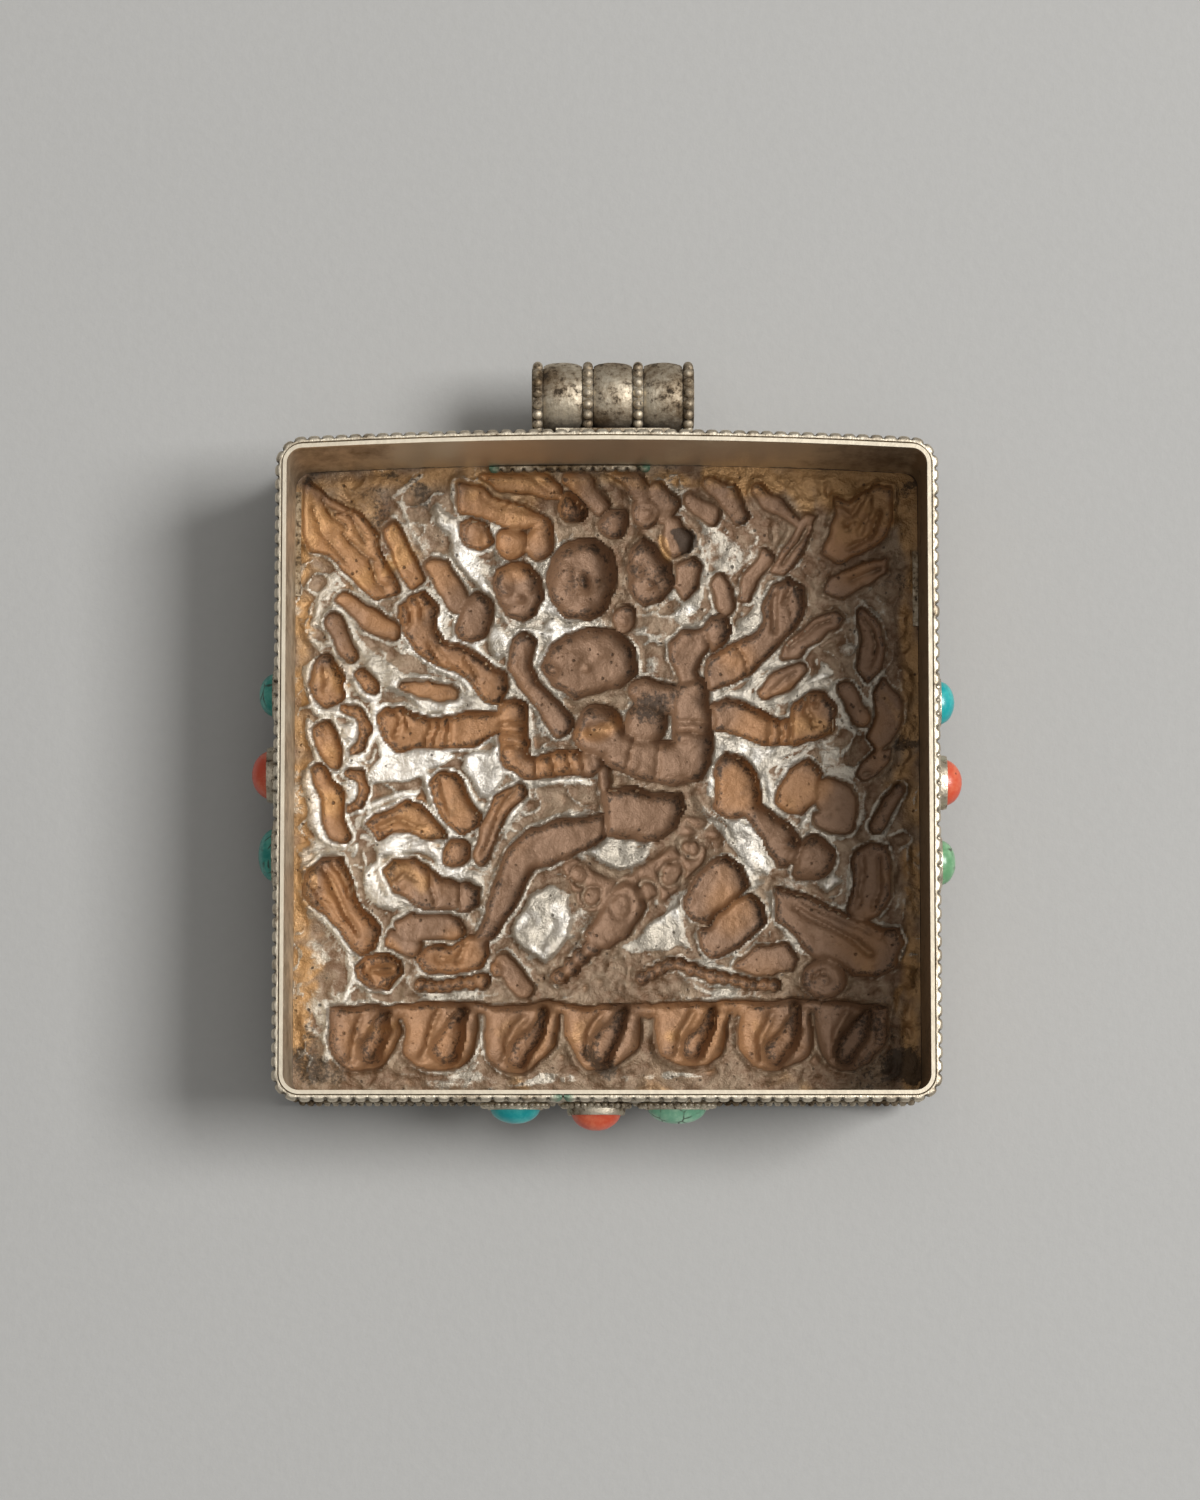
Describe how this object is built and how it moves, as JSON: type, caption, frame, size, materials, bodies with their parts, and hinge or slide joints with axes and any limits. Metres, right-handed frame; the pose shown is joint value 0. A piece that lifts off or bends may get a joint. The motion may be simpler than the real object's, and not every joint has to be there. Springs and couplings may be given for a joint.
{
  "type": "ghau amulet box",
  "caption": "Square amulet box open at the back, its front a figure hammered out in relief, with a beaded rim, stones set on its sides and a ribbed cord tube at the top.",
  "frame": {"origin": "under the middle of the whole piece, at the height of the highest forms of the relief, on which it lies", "axes": "+X across the box, +Y towards the cord tube, +Z from the relief face towards the open back"},
  "size_m": [0.0928, 0.1014, 0.0259],
  "materials": {
    "case_silver": "worn silver, satin",
    "bail_silver": "worn silver with dark pits",
    "setting_silver": "tarnished silver",
    "relief_sheet": "brown patina over silvered copper",
    "turquoise": "polished stone",
    "coral": "polished coral"
  },
  "bodies": {
    "root": {"case_wall": "case_silver", "rim_bead_wire": "case_silver", "twisted_wire": "case_silver", "front_wire": "case_silver", "inner_bead_strip": "case_silver", "holding_strip_left": "case_silver", "holding_strip_right": "case_silver", "bail_tube": "bail_silver", "bail_foot": "bail_silver", "bail_ring_1": "bail_silver", "bail_ring_2": "bail_silver", "bail_ring_3": "bail_silver", "bail_ring_4": "bail_silver", "bail_barrel_left": "bail_silver", "bail_barrel_middle": "bail_silver", "bail_barrel_right": "bail_silver", "stone_plate_left": "setting_silver", "bezels_left": "setting_silver", "bead_collars_left": "setting_silver", "stone_plate_right": "setting_silver", "bezels_right": "setting_silver", "bead_collars_right": "setting_silver", "stone_plate_bottom": "setting_silver", "bezels_bottom": "setting_silver", "bead_collars_bottom": "setting_silver", "front_panel": "relief_sheet", "turquoise_left_upper": "turquoise", "turquoise_left_lower": "turquoise", "turquoise_right_upper": "turquoise", "turquoise_right_lower": "turquoise", "turquoise_bottom_left": "turquoise", "turquoise_bottom_right": "turquoise", "coral_left": "coral", "coral_right": "coral", "coral_bottom": "coral"}
  },
  "joints": []
}
